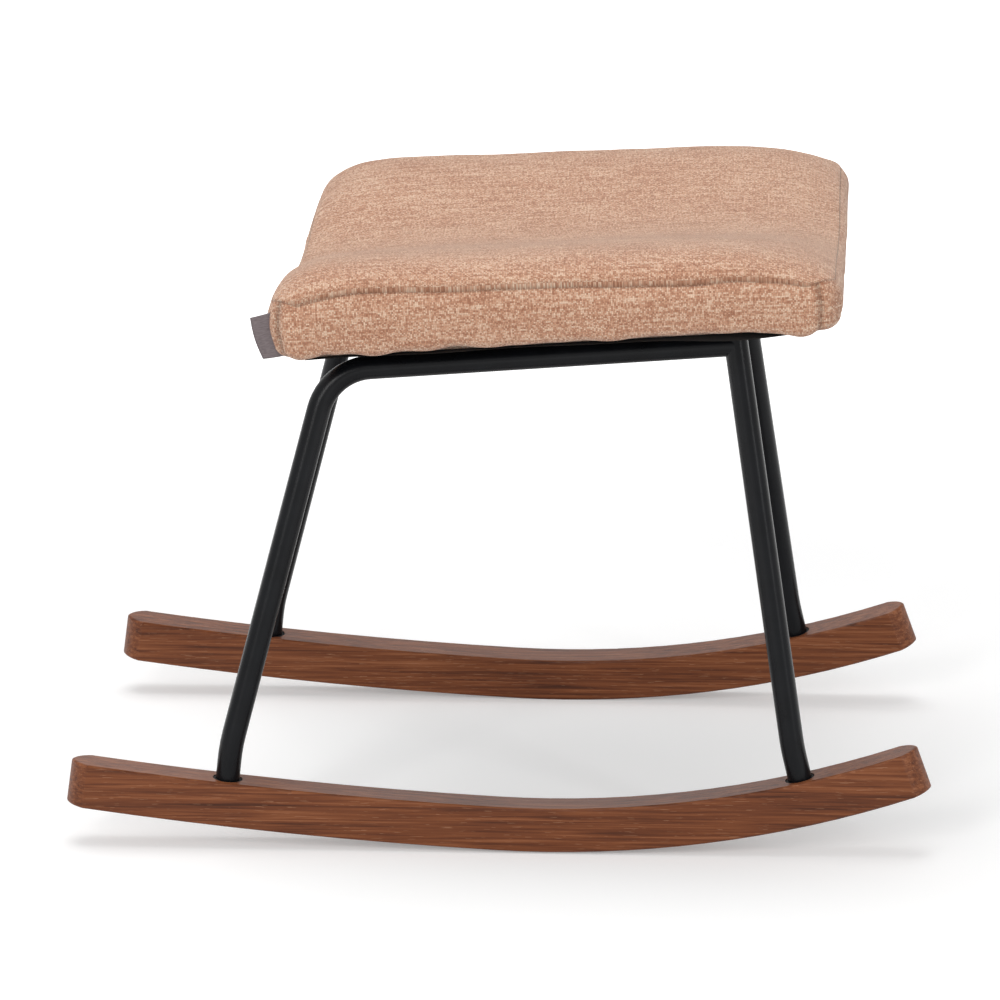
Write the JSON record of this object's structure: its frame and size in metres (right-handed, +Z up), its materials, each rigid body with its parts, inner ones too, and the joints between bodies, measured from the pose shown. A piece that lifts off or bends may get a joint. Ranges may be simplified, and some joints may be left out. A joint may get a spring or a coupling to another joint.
{
  "type": "rocking footstool",
  "caption": "Low footstool on two bowed wooden rockers, with a bent tube frame and a sewn saddle-shaped fabric cushion.",
  "frame": {"origin": "on the floor, midway along and between the two rockers", "axes": "+X along the rockers towards the higher end of the seat, +Y across the stool, +Z up"},
  "size_m": [0.5753, 0.3804, 0.4109],
  "materials": {
    "stained_wood": "walnut stain, satin lacquer",
    "black_tube": "black satin powder coat",
    "zinc_steel": "zinc plated",
    "black_plastic": "moulded, matte",
    "plywood": "raw birch plywood",
    "black_cloth": "spun-bonded cloth",
    "foam": "open-cell foam",
    "peach_fabric": "heathered woven upholstery",
    "grey_ribbon": "woven ribbon"
  },
  "bodies": {
    "root": {"near_rocker": "stained_wood", "far_rocker": "stained_wood", "near_leg_rail": "black_tube", "far_leg_rail": "black_tube", "near_right_leg": "black_tube", "far_right_leg": "black_tube", "left_cross_tube": "black_tube", "right_cross_tube": "black_tube", "rocker_bolts": "zinc_steel", "rocker_washers": "zinc_steel", "foot_inserts": "zinc_steel", "leg_top_plugs": "black_plastic", "seat_spacers": "black_plastic", "seat_bolts": "zinc_steel", "seat_t_nuts": "zinc_steel", "seat_board": "plywood", "dust_cover": "black_cloth", "foam_pad": "foam", "top_panel": "peach_fabric", "near_band": "peach_fabric", "far_band": "peach_fabric", "left_band": "peach_fabric", "right_band": "peach_fabric", "label_tab": "grey_ribbon"}
  },
  "joints": []
}
